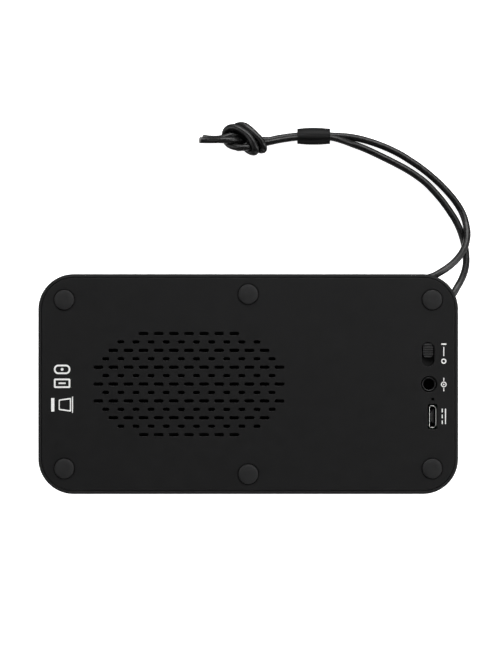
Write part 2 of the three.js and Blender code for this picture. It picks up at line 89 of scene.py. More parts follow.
STRAND_B = [
    (55.59, 23.27, 12), (57.1, 22.25, 12), (59.3, 21.8, 12), (62, 22.52, 12), (63.98, 24.5, 12),
    (64.94, 26.13, 12), (66.81, 28, 12), (68.45, 29.61, 11.81), (69.53, 31.36, 11.18), (71.7, 34.92, 8.94),
    (73.18, 38.77, 6.07), (73.61, 42.85, 3.34), (73.18, 46.83, 1.5), (72.04, 50.76, 1.25),
    (70.34, 54.49, 1.25), (68.17, 57.89, 1.25), (65.79, 61.19, 1.25), (63.14, 64.28, 1.25),
    (60.32, 67.16, 1.25), (57.13, 69.64, 1.25), (53.7, 71.85, 1.25), (50.13, 73.79, 1.25),
    (44.73, 76.47, 1.25), (39.26, 78.99, 1.25), (35.45, 80.37, 1.81), (32.0, 81.38, 3.25),
    (28.6, 82.24, 3.97), (22.04, 82.6, 3.97), (16.46, 82.35, 3.97), (10.0, 81.42, 3.97),
    (6.68, 80.76, 3.92), (4.97, 80.56, 3.58), (3.17, 80.05, 3.81), (1.45, 79.53, 4.34), (-0.22, 79.07, 5.03),
    (-2.07, 78.9, 5.21), (-3.88, 79.07, 4.73), (-5.43, 79.52, 3.81), (-6.68, 80.31, 2.7),
    (-7.57, 81.55, 1.68), (-7.97, 83.29, 1.34), (-7.55, 84.82, 2.22), (-6.47, 85.65, 3.44),
    (-4.97, 85.81, 4.5), (-3.33, 85.32, 5.23), (-1.78, 84.37, 5.71), (-0.34, 83.22, 6.1), (0.85, 81.79, 6.36),
    (1.77, 80.14, 6.36), (2.45, 78.51, 5.87), (2.3, 77.56, 4.39), (1.52, 77.51, 2.77), (0.31, 78.14, 1.56),
    (-1.05, 79.32, 1.22), (-2.23, 80.61, 1.64), (-3.34, 81.37, 3.24), (-4.68, 81.61, 4.3),
    (-6.36, 81.42, 5.1), (-8.22, 81.42, 5.35), (-9.76, 81.42, 5.08), (-11.35, 81.45, 4.5),
    (-13.06, 81.5, 3.88), (-14.8, 81.56, 3.4), (-16.3, 81.6, 3.2),
]

# ---- light levels -----------------------------------------------------------
FLOOR_GLOW = 0.95
WORLD = 0.06
LIGHTS = [
    ("key_far_side", (20, 620, 520), (0.8, 0.4), 6.0),
    ("key_corner", (440, 440, 500), (0.4, 0.4), 1.5),
    ("strip_right", (600, -40, 400), (0.14, 0.6), 1.6),
    ("strip_left", (-600, -40, 400), (0.14, 0.6), 0.5),
    ("strip_near", (0, -600, 400), (0.6, 0.14), 0.25),
    ("panel_left", (-1100, 0, 100), (1.0, 1.6), 5.0),
    ("panel_right", (1100, 0, 100), (1.0, 1.6), 5.0),
    ("panel_near", (0, -1100, 100), (1.6, 1.0), 9.0),
    ("panel_far", (0, 1100, 100), (1.6, 1.0), 4.0),
    ("under", (0, 0, -900), (0.8, 0.8), 4.0),
]

# ---- mesh building ---------------------------------------------------------
def rr(w, h, r, cx=0.0, cy=0.0, n=6):
    """Rounded rectangle, anticlockwise."""
    r = max(0.004, min(r, w / 2 - 0.001, h / 2 - 0.001))
    pts = []
    for k, (sx, sy) in enumerate(((1, -1), (1, 1), (-1, 1), (-1, -1))):
        ox, oy = cx + sx * (w / 2 - r), cy + sy * (h / 2 - r)
        for i in range(n + 1):
            a = math.radians(-90 + 90 * k + 90 * i / n)
            pts.append((ox + r * math.cos(a), oy + r * math.sin(a)))
    return pts


def circle(cx, cy, r, n=32):
    return [(cx + r * math.cos(2 * math.pi * i / n), cy + r * math.sin(2 * math.pi * i / n)) for i in range(n)]


def arc(cu, cv, r, a0, a1, n):
    """Points of an arc in profile space, angles in degrees."""
    return [(cu + r * math.cos(math.radians(a0 + (a1 - a0) * i / n)),
             cv + r * math.sin(math.radians(a0 + (a1 - a0) * i / n))) for i in range(n + 1)]


def grown(pts, d):
    """A convex anticlockwise polygon with every side moved out by d."""
    n, out = len(pts), []
    for i in range(n):
        (ax, ay), (bx, by), (cx, cy) = pts[i - 1], pts[i], pts[(i + 1) % n]
        u = Vector((bx - ax, by - ay)).normalized()
        v = Vector((cx - bx, cy - by)).normalized()
        nu, nv = Vector((u.y, -u.x)), Vector((v.y, -v.x))
        m = (nu + nv)
        m *= d / max(1e-6, m.dot(nu))
        out.append((bx + m.x, by + m.y))
    return out


def softened(pts, r, n=3):
    """The polygon with its corners rounded by about r."""
    out, k = [], len(pts)
    for i in range(k):
        p, a, c = Vector(pts[i]), Vector(pts[i - 1]), Vector(pts[(i + 1) % k])
        da, dc = (a - p), (c - p)
        t = min(r, da.length * 0.45, dc.length * 0.45)
        s, e = p + da.normalized() * t, p + dc.normalized() * t
        for j in range(n + 1):
            f = j / n
            q = s * (1 - f) ** 2 + p * 2 * f * (1 - f) + e * f ** 2
            out.append((q.x, q.y))
    return out


class Shape:
    """Rings of points, bridged and capped into closed meshes."""

    def __init__(self, place=None):
        self.v, self.f = [], []
        self.place = place or (lambda x, y, z: (x, y, z))

    def ring(self, pts, z):
        a = len(self.v)
        self.v += [self.place(x, y, z) for x, y in pts]
        return list(range(a, a + len(pts)))

    def bridge(self, a, b):
        n = len(a)
        for i in range(n):
            j = (i + 1) % n
            self.f.append((a[i], a[j], b[j], b[i]))

    def loft(self, outline, profile):
        """outline(offset) gives points; profile is [(offset, z)]. Returns the first and last ring."""
        rings = [self.ring(outline(o), z) for o, z in profile]
        for a, b in zip(rings, rings[1:]):
            self.bridge(a, b)
        return rings[0], rings[-1]

    def cap(self, outer, holes=()):
        loops = [outer, *holes]
        flat = [i for loop in loops for i in loop]
        for t in tessellate_polygon([[Vector(self.v[i]) for i in loop] for loop in loops]):
            self.f.append(tuple(flat[i] for i in t))

    def fan(self, ring, x, y, z):
        c = len(self.v)
        self.v.append(self.place(x, y, z))
        n = len(ring)
        for i in range(n):
            self.f.append((ring[i], ring[(i + 1) % n], c))

    def mesh(self, name):
        me = bpy.data.meshes.new(name)
        me.from_pydata([(x * MM, y * MM, z * MM) for x, y, z in self.v], [], self.f)
        bm = bmesh.new()
        bm.from_mesh(me)
        bmesh.ops.remove_doubles(bm, verts=bm.verts, dist=1e-7)
        bmesh.ops.dissolve_degenerate(bm, edges=bm.edges, dist=1e-7)
        bmesh.ops.recalc_face_normals(bm, faces=bm.faces)
        loose = sum(1 for e in bm.edges if len(e.link_faces) != 2)
        if loose:
            print("OPEN", name, loose)
        bm.to_mesh(me)
        bm.free()
        return me


def shade(me, angle=38):
    """Curved faces smooth, faces square to the axes flat, creases sharp."""
    me.set_sharp_from_angle(angle=math.radians(angle))
    me.polygons.foreach_set("use_smooth", [max(abs(p.normal.x), abs(p.normal.y), abs(p.normal.z)) < 0.9996 for p in me.polygons])
    me.update()


def piece(me, material, body="root", stands_for=(), angle=38, name=None):
    if isinstance(me, Shape):
        me = me.mesh(name)
    shade(me, angle)
    me.materials.clear()
    me.materials.append(material)
    o = bpy.data.objects.new(name or me.name, me)
    scene.collection.objects.link(o)
    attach(o, body)
    if stands_for:
        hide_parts(*stands_for)
    return o


def helper(shape, name):
    o = bpy.data.objects.new(name, shape.mesh(name) if isinstance(shape, Shape) else shape)
    scene.collection.objects.link(o)
    return o


def boolean(me, others, how):
    """The mesh with the other shapes cut out, added or kept in common."""
    base = helper(me, "work_base")
    group = bpy.data.collections.new("work_tools")
    tools = [helper(s, "work_tool") for s in others]
    for t in tools:
        group.objects.link(t)
    m = base.modifiers.new("b", "BOOLEAN")
    m.operation, m.solver, m.operand_type, m.collection = how, "EXACT", "COLLECTION", group
    dg = bpy.context.evaluated_depsgraph_get()
    out = bpy.data.meshes.new_from_object(base.evaluated_get(dg))
    for t in [base, *tools]:
        bpy.data.objects.remove(t)
    bpy.data.collections.remove(group)
    bm = bmesh.new()
    bm.from_mesh(out)
    bmesh.ops.remove_doubles(bm, verts=bm.verts, dist=2e-7)
    bmesh.ops.dissolve_degenerate(bm, edges=bm.edges, dist=2e-7)
    loose = sum(1 for e in bm.edges if len(e.link_faces) != 2)
    if loose:
        print("OPEN after", how, loose)
    bm.to_mesh(out)
    bm.free()
    return out


def rod(x, y, r, z0, z1, n=28, place=None):
    s = Shape(place)
    a, b = s.ring(circle(x, y, r, n), z0), s.ring(circle(x, y, r, n), z1)
    s.bridge(a, b)
    s.fan(a, x, y, z0)
    s.fan(b, x, y, z1)
    return s


def plate(outline, z0, z1, edge=0.2, n=3, place=None, holes=()):
    """A flat piece with rounded top and bottom edges; outline(offset) gives its points, and so does each hole."""
    s = Shape(place)
    up = arc(-edge, z1 - edge, edge, 0, 90, n)
    down = arc(-edge, z0 + edge, edge, -90, 0, n)
    a, b = s.loft(outline, down + up)
    tops, bottoms = [], []
    for hole in holes:
        h_up = [(-o - 0.0, z) for o, z in arc(-edge, z1 - edge, edge, 0, 90, n)]
        h_down = [(-o, z) for o, z in arc(-edge, z0 + edge, edge, -90, 0, n)]
        c, d = s.loft(hole, h_down + h_up)
        bottoms.append(c)
        tops.append(d)
    s.cap(b, tops)
    s.cap(a, bottoms)
    return s


def lathe(profile, x, y, n=48, place=None):
    """Solid of revolution about a vertical axis; profile [(radius, z)] starts and ends on the axis."""
    s = Shape(place)
    rings = [s.ring(circle(x, y, r, n), z) for r, z in profile[1:-1]]
    for a, b in zip(rings, rings[1:]):
        s.bridge(a, b)
    s.fan(rings[0], x, y, profile[0][1])
    s.fan(rings[-1], x, y, profile[-1][1])
    return s


def tube_lathe(profile, x, y, n=48, place=None):
    """Closed ring of revolution; profile [(radius, z)] is a closed loop."""
    s = Shape(place)
    rings = [s.ring(circle(x, y, r, n), z) for r, z in profile]
    for a, b in zip(rings, rings[1:] + rings[:1]):
        s.bridge(a, b)
    return s


# ---- materials -------------------------------------------------------------
class Mat:
    """A Principled material with procedural variation, in object coordinates (metres)."""

    def __init__(self, name, color, rough, metal=0.0, spec=0.5, **sockets):
        self.m = bpy.data.materials.new(name)
        self.m.use_nodes = True
        self.t = self.m.node_tree
        self.p = self.t.nodes["Principled BSDF"]
        self.color, self.rough = color, rough
        self.p.inputs["Base Color"].default_value = (*color, 1)
        self.p.inputs["Roughness"].default_value = rough
        self.p.inputs["Metallic"].default_value = metal
        self.p.inputs["Specular IOR Level"].default_value = spec
        for k, v in sockets.items():
            self.p.inputs[k.replace("_", " ")].default_value = v
        self.co = self.t.nodes.new("ShaderNodeTexCoord").outputs["Object"]
        self.normal = None

    def node(self, kind, **props):
        n = self.t.nodes.new(kind)
        for k, v in props.items():
            setattr(n, k, v)
        return n

    def link(self, a, b):
        self.t.links.new(a, b)

    def mapped(self, scale, rot=(0, 0, 0)):
        n = self.node("ShaderNodeMapping")
        n.inputs["Scale"].default_value = scale
        n.inputs["Rotation"].default_value = rot
        self.link(self.co, n.inputs["Vector"])
        return n.outputs["Vector"]

    def noise(self, scale, detail=4, rough=0.55, stretch=None, rot=(0, 0, 0)):
        n = self.node("ShaderNodeTexNoise")
        n.inputs["Scale"].default_value = scale
        n.inputs["Detail"].default_value = detail
        n.inputs["Roughness"].default_value = rough
        self.link(self.mapped(stretch, rot) if stretch else self.co, n.inputs["Vector"])
        return n.outputs["Fac"]

    def ramp(self, fac, stops):
        n = self.node("ShaderNodeValToRGB")
        el = n.color_ramp.elements
        while len(el) < len(stops):
            el.new(0.5)
        for e, (at, c) in zip(el, stops):
            e.position, e.color = at, (*c, 1) if len(c) == 3 else c
        self.link(fac, n.inputs["Fac"])
        return n.outputs["Color"]

    def range(self, fac, lo, hi, f0=0.3, f1=0.7):
        n = self.node("ShaderNodeMapRange")
        n.inputs["From Min"].default_value, n.inputs["From Max"].default_value = f0, f1
        n.inputs["To Min"].default_value, n.inputs["To Max"].default_value = lo, hi
        self.link(fac, n.inputs["Value"])
        return n.outputs["Result"]

    def tint(self, fac, spread, f0=0.3, f1=0.7):
        """Base colour varied by +-spread."""
        lo = tuple(c * (1 - spread) for c in self.color)
        hi = tuple(c * (1 + spread) for c in self.color)
        self.link(self.ramp(fac, [(f0, lo), (f1, hi)]), self.p.inputs["Base Color"])

    def gloss(self, fac, spread, f0=0.3, f1=0.7):
        self.link(self.range(fac, max(0.02, self.rough - spread), min(1, self.rough + spread), f0, f1), self.p.inputs["Roughness"])

    def bump(self, height, strength, distance):
        n = self.node("ShaderNodeBump")
        n.inputs["Strength"].default_value = strength
        n.inputs["Distance"].default_value = distance * MM
        self.link(height, n.inputs["Height"])
        if self.normal is not None:
            self.link(self.normal, n.inputs["Normal"])
        self.normal = n.outputs["Normal"]
        self.link(self.normal, self.p.inputs["Normal"])


def moulded(name, color, rough, grain=2600, grain_d=0.02, spec=0.5, blotch=0.12, patch=420):
    """Moulded plastic with a spark-eroded grain."""
    m = Mat(name, color, rough, spec=spec)
    m.tint(m.noise(60, 5), blotch)
    m.gloss(m.noise(patch, 3), 0.05)
    m.bump(m.noise(grain, 2, 0.6), 0.5, grain_d)
    return m.m

shell_m = moulded("shell_plastic", (0.0138, 0.0138, 0.0141), 0.70, grain=2200, grain_d=0.012, spec=0.09, blotch=0.05, patch=1500)
cover_m = moulded("cover_plastic", (0.0051, 0.0051, 0.0053), 0.55, grain=2600, grain_d=0.014, spec=0.20, blotch=0.05)
inner_m = moulded("inner_plastic", (0.0075, 0.0075, 0.0078), 0.6, grain=1800, grain_d=0.01, spec=0.25)
jack_m = moulded("jack_plastic", (0.0085, 0.0085, 0.0088), 0.42, grain=3000, grain_d=0.006, spec=0.28)
shade_m = moulded("shutter_plastic", (0.0080, 0.0080, 0.0082), 0.62, grain=3000, grain_d=0.006, spec=0.2)
# the darkest plastic, used only as painted shade lining the inside of the charging socket
painted_shade_m = moulded("usb_painted_shade_plastic", (0.0040, 0.0040, 0.0042), 0.7, grain=3000, grain_d=0.006, spec=0.1)
key_m = moulded("key_rubber", (0.0255, 0.0255, 0.0258), 0.55, grain=3000, grain_d=0.012, spec=0.35)


def rubber():
    m = Mat("black_rubber", (0.0116, 0.0116, 0.0119), 0.62, spec=0.20)
    m.tint(m.noise(500, 5), 0.18)
    m.gloss(m.noise(900, 3), 0.07)
    m.bump(m.noise(3800, 2), 0.4, 0.012)
    return m.m


def leather():
    m = Mat("leather_cord", (0.0052, 0.0050, 0.0050), 0.33, spec=0.36)
    grain = m.noise(1500, 6, 0.65)
    m.tint(m.noise(260, 5, 0.6), 0.45, 0.35, 0.68)
    m.gloss(grain, 0.13, 0.35, 0.68)
    m.bump(m.noise(700, 4, 0.6), 0.45, 0.07)
    m.bump(grain, 0.55, 0.05)
    return m.m


def leather_end():
    m = Mat("leather_cut", (0.12, 0.117, 0.113), 0.8, spec=0.3)
    m.tint(m.noise(1800, 5, 0.7), 0.5, 0.35, 0.66)
    m.gloss(m.noise(900, 3), 0.08)
    m.bump(m.noise(2600, 4, 0.7), 0.9, 0.08)
    return m.m


def bead_plastic():
    m = Mat("bead_plastic", (0.0068, 0.0068, 0.0070), 0.58, spec=0.16)
    streak = m.noise(1.0, 3, 0.6, stretch=(22, 1350, 1350))
    m.tint(streak, 0.8, 0.42, 0.60)
    m.gloss(streak, 0.08, 0.35, 0.65)
    m.bump(streak, 0.6, 0.03)
    m.bump(m.noise(3200, 2), 0.3, 0.008)
    return m.m


def metal(name, color, rough, brushed=None):
    m = Mat(name, color, rough, metal=1.0)
    n = m.noise(1.0, 4, 0.6, stretch=brushed) if brushed else m.noise(600, 5)
    m.tint(n, 0.08)
    m.gloss(n, 0.07)
    m.bump(m.noise(2600, 3), 0.15, 0.006)
    return m.m


def grille_fabric():
    m = Mat("grille_fabric", (0.012, 0.012, 0.0125), 0.85, spec=0.25, Sheen_Weight=0.25, Sheen_Roughness=0.5)
    waves = []
    for direction in ("X", "Y"):
        w = m.node("ShaderNodeTexWave", wave_type="BANDS", bands_direction=direction, wave_profile="SIN")
        w.inputs["Scale"].default_value = 420
        w.inputs["Distortion"].default_value = 0.35
        w.inputs["Detail"].default_value = 2
        w.inputs["Detail Scale"].default_value = 0.6
        m.link(m.co, w.inputs["Vector"])
        waves.append(w.outputs["Fac"])
    mix = m.node("ShaderNodeMath", operation="MULTIPLY")
    m.link(waves[0], mix.inputs[0])
    m.link(waves[1], mix.inputs[1])
    m.link(m.ramp(mix.outputs[0], [(0.05, (0.004, 0.004, 0.0042)), (0.7, (0.024, 0.024, 0.025))]), m.p.inputs["Base Color"])
    m.gloss(m.noise(300, 3), 0.06)
    m.bump(mix.outputs[0], 0.9, 0.16)
    return m.m


def speckled(name, color, rough, spread, scale, bump, distance, spec=0.4, metal=0.0):
    m = Mat(name, color, rough, metal=metal, spec=spec)
    m.tint(m.noise(scale, 5, 0.6), spread)
    m.gloss(m.noise(scale * 0.7, 3), 0.06)
    m.bump(m.noise(scale * 2.2, 3), bump, distance)
    return m.m


def circuit_board():
    m = Mat("circuit_board", (0.012, 0.075, 0.045), 0.42)
    b = m.node("ShaderNodeTexBrick")
    b.inputs["Scale"].default_value = 420
    b.inputs["Mortar Size"].default_value = 0.06
    b.inputs["Color1"].default_value = (0.010, 0.070, 0.040, 1)
    b.inputs["Color2"].default_value = (0.014, 0.085, 0.050, 1)
    b.inputs["Mortar"].default_value = (0.03, 0.14, 0.08, 1)
    m.link(m.co, b.inputs["Vector"])
    m.link(b.outputs["Color"], m.p.inputs["Base Color"])
    m.gloss(m.noise(500, 3), 0.06)
    m.bump(b.outputs["Fac"], 0.3, 0.03)
    return m.m


def ink():
    m = Mat("white_ink", (0.73, 0.73, 0.72), 0.55, spec=0.3)
    m.tint(m.noise(2400, 4, 0.6), 0.10)
    m.gloss(m.noise(900, 3), 0.06)
    m.bump(m.noise(3000, 3), 0.3, 0.01)
    return m.m


rubber_m, leather_m, cut_m, bead_m = rubber(), leather(), leather_end(), bead_plastic()
nickel_m = metal("nickel_plate", (0.47, 0.468, 0.455), 0.30)
zinc_m = metal("zinc_screw", (0.42, 0.43, 0.45), 0.38)
steel_m = metal("zinc_steel", (0.46, 0.47, 0.49), 0.34)
fabric_m, board_m, ink_m = grille_fabric(), circuit_board(), ink()
ferrite_m = speckled("ferrite", (0.030, 0.030, 0.032), 0.55, 0.2, 900, 0.5, 0.03)
cone_m = speckled("cone_paper", (0.018, 0.018, 0.019), 0.8, 0.3, 1500, 0.7, 0.05)
foam_m = speckled("foam", (0.035, 0.035, 0.036), 0.95, 0.35, 2400, 0.9, 0.12, spec=0.2)
battery_m = speckled("battery_pouch", (0.045, 0.13, 0.28), 0.36, 0.06, 240, 0.3, 0.03)
clear_m = speckled("clear_plastic", (0.16, 0.165, 0.165), 0.22, 0.05, 700, 0.2, 0.01)

BY_NODE = [("cover_seal", rubber_m, "black_rubber"), ("cover_screw", zinc_m, "zinc_screw"), ("board_screw", zinc_m, "zinc_screw"),
           ("left_driver_gasket", foam_m, None), ("right_driver_gasket", foam_m, None), ("driver_basket", steel_m, None),
           ("driver_magnet", ferrite_m, None), ("driver_yoke", steel_m, None), ("driver_surround", rubber_m, None),
           ("driver_cone", cone_m, None), ("driver_dust_cap", cone_m, None), ("radiator_frame", inner_m, None),
           ("radiator_surround", rubber_m, None), ("radiator_plate", inner_m, None), ("battery_pack", battery_m, None),
           ("battery_foam", foam_m, None), ("main_board", board_m, None), ("button_board", board_m, None),
           ("radio_module", nickel_m, None), ("grille_frame", inner_m, None), ("switch_body", inner_m, None)]
for name, o in NODES.items():
    found = next((m for key, m, _ in BY_NODE if key in name), inner_m)
    o.data.materials.clear()
    o.data.materials.append(found)
    shade(o.data, 32)

# ---- lanyard cords -----------------------------------------------------------
def cord_points(points):
    """The points with centripetal handles, as (co, left, right)."""
    p = [Vector(q) * MM for q in points]
    out = []
    for i, c in enumerate(p):
        a, b = p[max(i - 1, 0)], p[min(i + 1, len(p) - 1)]
        la, lb = (c - a).length or 1e-9, (b - c).length or 1e-9
        t = ((c - a) / la * lb + (b - c) / lb * la) / (la + lb) if 0 < i < len(p) - 1 else (b - a).normalized()
        if t.length > 1e-9:
            t.normalize()
        out.append((c, c - t * la / 3, c + t * lb / 3))
    return out


def knotted(x, y):
    """1 inside the knot, where the cord is pressed wider, falling to 0 along the cord."""
    d = math.hypot((x + 1.2) / 7.4, (y - 82.4) / 5.6)
    return min(1.0, max(0.0, (1.25 - d) / 0.35))


def loose(x):
    """1 along the open loop, where the cord is round and full; it is drawn thinner where the bead grips it."""
    return min(1.0, max(0.0, (x - 31.0) / 4.0))


def strand(name, points, ends):
    data = bpy.data.curves.new(name, "CURVE")
    data.dimensions = "3D"
    data.bevel_depth = CORD_D / 2 * MM
    data.bevel_resolution = 8
    data.resolution_u = 10
    data.use_fill_caps = True
    s = data.splines.new("BEZIER")
    made = cord_points(points)
    s.bezier_points.add(len(made) - 1)
    for b, (c, l, r) in zip(s.bezier_points, made):
        b.handle_left_type = b.handle_right_type = "FREE"
        b.co, b.handle_left, b.handle_right = c, l, r
        b.radius = 0.955 + 0.11 * max(knotted(c.x / MM, c.y / MM), loose(c.x / MM))
    s.use_smooth = True
    data.materials.append(leather_m)
    o = bpy.data.objects.new(name, data)
    scene.collection.objects.link(o)
    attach(o, "root")
    length = sum((Vector(b) - Vector(a)).length for a, b in zip(points, points[1:])) * MM
    # the cut end of the tail, slightly swollen and frayed
    e, d = Vector(points[-1]), (Vector(points[-1]) - Vector(points[-2])).normalized()
    q = d.to_track_quat("Z", "Y")
    rng = np.random.default_rng(7 if name.endswith("a") else 8)
    sh = Shape(lambda x, y, z: tuple(e + q @ Vector((x, y, z))))
    rings = []
    for r, z in ((1.045, -0.5), (1.075, -0.25), (1.085, -0.05), (1.04, 0.14), (0.93, 0.22), (0.7, 0.2), (0.42, 0.25)):
        k = rng.normal(0, 0.018, 28)
        zz = z + (0.03 if z > 0.1 else 0)
        a = len(sh.v)
        for i in range(28):
            t = 2 * math.pi * i / 28
            sh.v.append(sh.place(r * (1 + k[i]) * math.cos(t), r * (1 + k[i]) * math.sin(t), zz + rng.normal(0, 0.03) * (z > 0)))
        rings.append(list(range(a, a + 28)))
    for a, b in zip(rings, rings[1:]):
        sh.bridge(a, b)
    sh.fan(rings[0], 0, 0, -0.5)
    sh.fan(rings[-1], 0, 0, 0.2)
    end = piece(sh, cut_m, "root", angle=60, name=name.replace("cord", "cord_end"))
    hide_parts(*ends)
    return o, end, length


cord_a, end_a, len_a = strand("lanyard_cord_a", STRAND_A, ["lanyard_strand_a", "lanyard_tail_a", "lanyard_knot"])
cord_b, end_b, len_b = strand("lanyard_cord_b", STRAND_B, ["lanyard_strand_b", "lanyard_tail_b"])

# ---- bead ----------------------------------------------------------------------
def bead():
    cx, cy, cz = BEAD_C
    s = Shape(lambda x, y, z: (cx + z, cy + x, cz + y))
    half = BEAD_L / 2
    n = 180
    rng = np.random.default_rng(3)
    turn = np.linspace(0, 2 * math.pi, n, endpoint=False)
    ridge = sum(a * np.cos(c * turn + q) for c, a, q in zip(range(21, 38), rng.uniform(0.3, 1, 17), rng.uniform(0, 6.28, 17)))
    ridge = 0.020 * ridge / ridge.std()
    # a rolled lip at each end, a narrow neck behind it, and a barrel between
    outer = [(2.37, -half + 0.12), (2.42, -half + 0.03), (2.50, -half), (2.60, -half + 0.05), (2.66, -half + 0.18), (2.65, -half + 0.32), (2.56, -half + 0.44)]
    for i in range(15):
        z = -half + 0.56 + (BEAD_L - 1.12) * i / 14
        outer.append((2.60 + 0.265 * (1 - abs(z / (half - 0.56)) ** 2.4), z))
    outer += [(r, -z) for r, z in outer[:7][::-1]]
    inner = [(2.36, half - 0.3), (2.35, 0), (2.36, -half + 0.3)]
    rings = []
    for k, (r, z) in enumerate(outer + inner):
        a = len(s.v)
        w = 1.0 if 6 < k < 22 else 0.0
        for i in range(n):
            t = 2 * math.pi * i / n
            q = r + ridge[i] * w
            s.v.append(s.place(q * math.cos(t), q * math.sin(t), z))
        rings.append(list(range(a, a + n)))
    for a, b in zip(rings, rings[1:] + rings[:1]):
        s.bridge(a, b)
    return s


piece(bead(), bead_m, "bead", ["lanyard_bead"], angle=50, name="bead_barrel")

# ---- front housing ----------------------------------------------------------------
def outline_of(w, h, r, cx=0.0, cy=0.0, n=20):
    return lambda o: rr(w + 2 * o, h + 2 * o, r + o, cx, cy, n)


def housing():
    s = Shape()
    out = outline_of(W, H, R, n=24)
    profile = [(-GRILLE_INSET, GRILLE_DEPTH), (-GRILLE_INSET, 0.35)] + arc(-3.65, 0.35, 0.35, 180, 270, 4)
    profile += arc(-FRONT_EDGE, FRONT_EDGE, FRONT_EDGE, -90, 0, 9)
    profile += arc(-BACK_EDGE, T - BACK_EDGE, BACK_EDGE, 0, 90, 7)
    profile += arc(-RIM + 0.12, T - 0.12, 0.12, 90, 180, 3)
    profile += [(-RIM, LEDGE_Z), (-WALL, LEDGE_Z), (-WALL, BAFFLE_BACK)]
    first, last = s.loft(out, profile)
    fronts, backs = [], []
    for cx in (-DRIVER_X, DRIVER_X):
        a, b = s.loft(lambda o, cx=cx: circle(cx, 0, BAFFLE_HOLE_R + o, 64), [(0.3, GRILLE_DEPTH), (0, GRILLE_DEPTH + 0.3), (0, BAFFLE_BACK)])
        fronts.append(a)
        backs.append(b)
    s.cap(first, fronts)
    s.cap(last, backs)
    me = s.mesh("front_housing_shell")
    posts, bores = [], []
    for x, y in FEET:
        posts.append(rod(x, y, 4.0, GRILLE_DEPTH + 1.4, COVER_Z - 1.6, 30))
        bores.append(rod(x, y, 1.5, 14, T + 1, 20))
        if x == 0:
            yy = math.copysign(31.6, y)
            posts.append(plate(outline_of(3, 4.8, 0.3, 0, yy, 3), 5.2, COVER_Z - 1.8, 0.1, 1))
    for y in (18.3, -18.3):
        posts.append(rod(52.5, y, 2.2, GRILLE_DEPTH + 1.4, 19.2, 24))
        bores.append(rod(52.5, y, 1.2, 11, 20, 16))
    me = boolean(me, posts, "UNION")
    cuts = bores
    for pts in (STRAND_A, STRAND_B):
        p, q = Vector(pts[5]), Vector(pts[6])
        d = (q - p).normalized()
        turn = d.to_track_quat("Z", "Y")
        place = lambda x, y, z, q=q, turn=turn: tuple(q + turn @ Vector((x, y, z)))
        cuts.append(lathe([(0, -5.2), (1.7, -5.2), (1.7, -0.75), (1.76, -0.35), (1.95, 0.0), (2.35, 0.35), (3.2, 1.0), (0, 1.0)], 0, 0, 36, place))
    for x in BUTTON_X:
        place = lambda u, v, z, x=x: (x + u, -H / 2 + z, BUTTON_Z + v)
        o = outline_of(BUTTON[0] + 0.6, BUTTON[1] + 0.6, BUTTON[1] / 2 + 0.29, n=10)
        c = Shape(place)
        a, b = c.loft(o, [(0.45, -0.25), (0.2, 0.0), (0.05, 0.12), (0.0, 0.3), (0.0, WALL + 1)])
        c.cap(a)
        c.cap(b)
        cuts.append(c)
    return boolean(me, cuts, "DIFFERENCE")


piece(housing(), shell_m, "root", ["front_housing"], name="housing_shell")

# ---- back cover, one moulding -------------------------------------------------------
SEAM_SEEN = 0.17                        # the gap left to see once both edges are rounded


def back_cover():
    s = Shape()
    off = RIM + SEAM_SEEN
    first, last = s.loft(outline_of(W - 2 * off, H - 2 * off, R - off, n=24), [(0, COVER_Z)] + arc(-0.22, T - 0.22, 0.22, 0, 90, 5))
    tops, bottoms = [], []

    def through(outline, edge=0.12, n=2):
        down = [(edge - edge * math.sin(math.radians(90 * i / n)), T - edge + edge * math.cos(math.radians(90 * i / n))) for i in range(n + 1)]
        a, b = s.loft(outline, down + [(0, COVER_Z)])
        tops.append(a)
        bottoms.append(b)

    for row, count in enumerate(ROWS):
        long = LONG_SLOT if row % 2 == 0 else SHORT_SLOT
        for i in range(count):
            through(outline_of(long, SLOT_W, SLOT_W / 2 - 0.01, VENT_X + (i - (count - 1) / 2) * PITCH_X, (6 - row) * PITCH_Y, n=5), 0.10)
    through(outline_of(*SWITCH_SLOT, SWITCH_SLOT[0] / 2 - 0.01, *SWITCH, n=12), 0.14, 3)
    through(lambda o: circle(*JACK, 2.6 + o, 48), 0.14, 3)
    through(lambda o: circle(*LIGHT, 0.5 + o, 24), 0.04)
    through(outline_of(3.1, 8.1, 0.6, *USB, n=6), 0.12)
    for x, y in FEET:
        a, b = s.loft(lambda o, x=x, y=y: circle(x, y, o, 40), [(3.46, T), (3.42, T - 0.02), (3.39, T - 0.08), (3.39, T - 0.6), (2.8, T - 0.6), (2.8, COVER_Z + 0.2), (1.5, COVER_Z + 0.2), (1.5, LEDGE_Z), (3.8, LEDGE_Z), (3.8, COVER_Z)])
        tops.append(a)
        bottoms.append(b)
    s.cap(last, tops)
    s.cap(first, bottoms)
    return s


piece(back_cover(), cover_m, "root", ["back_cover", "back_cover_vent_field", "back_cover_port_field"], name="back_cover_moulding")

# ---- feet ------------------------------------------------------------------------
for i, (x, y) in enumerate(FEET):
    profile = [(0, T - 0.3), (3.2, T - 0.3), (3.2, T + 0.24), (3.18, T + 0.37), (3.11, T + 0.48), (2.99, T + 0.56), (2.8, T + 0.62), (2.5, T + 0.685),
               (2.15, T + 0.745), (1.75, T + 0.785), (1.3, T + 0.8), (0.7, T + 0.795), (0, T + 0.785)]
    piece(lathe(profile, x, y, 56), rubber_m, "root", [f"foot_{i + 1}"], angle=60, name=f"foot_pad_{i + 1}")

